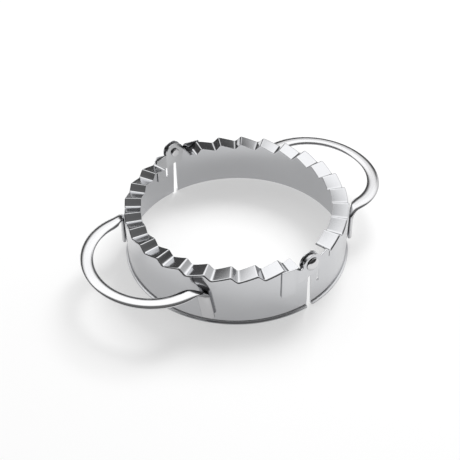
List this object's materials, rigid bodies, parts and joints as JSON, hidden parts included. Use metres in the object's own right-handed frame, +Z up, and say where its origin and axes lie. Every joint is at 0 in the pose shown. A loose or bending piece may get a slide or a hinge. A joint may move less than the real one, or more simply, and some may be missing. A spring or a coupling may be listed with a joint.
{
  "type": "empanada press",
  "caption": "Round steel dough press with a crimped rim, split into hinged half rings that fold together, each with a flat looped handle.",
  "frame": {"origin": "on the worktop, under the centre of the ring", "axes": "+X along the two handles, +Y along the hinge axis, +Z up from the worktop"},
  "size_m": [0.1768, 0.124, 0.0351],
  "materials": {
    "left_shell": "polished stainless steel sheet",
    "right_shell": "polished stainless steel sheet",
    "left_handle": "polished stainless steel strip",
    "right_handle": "polished stainless steel strip",
    "outer_hinge_plate": "polished stainless steel sheet with faint drawing lines",
    "inner_hinge_plate": "stainless steel sheet",
    "rivet": "polished domed steel",
    "washer": "plain steel"
  },
  "bodies": {
    "left_half": {"left_shell": "left_shell", "left_handle": "left_handle", "front_outer_hinge_plate": "outer_hinge_plate", "rear_inner_hinge_plate": "inner_hinge_plate", "front_rivet": "rivet", "rear_rivet": "rivet", "front_washer": "washer", "rear_washer": "washer"},
    "right_half": {"right_shell": "right_shell", "right_handle": "right_handle", "front_inner_hinge_plate": "inner_hinge_plate", "rear_outer_hinge_plate": "outer_hinge_plate"}
  },
  "joints": [
    {"name": "fold", "type": "hinge", "parent": "left_half", "child": "right_half", "pos_m": [0, 0, 0.0294], "axis": [0, -1, 0], "range_deg": [0, 180]}
  ]
}
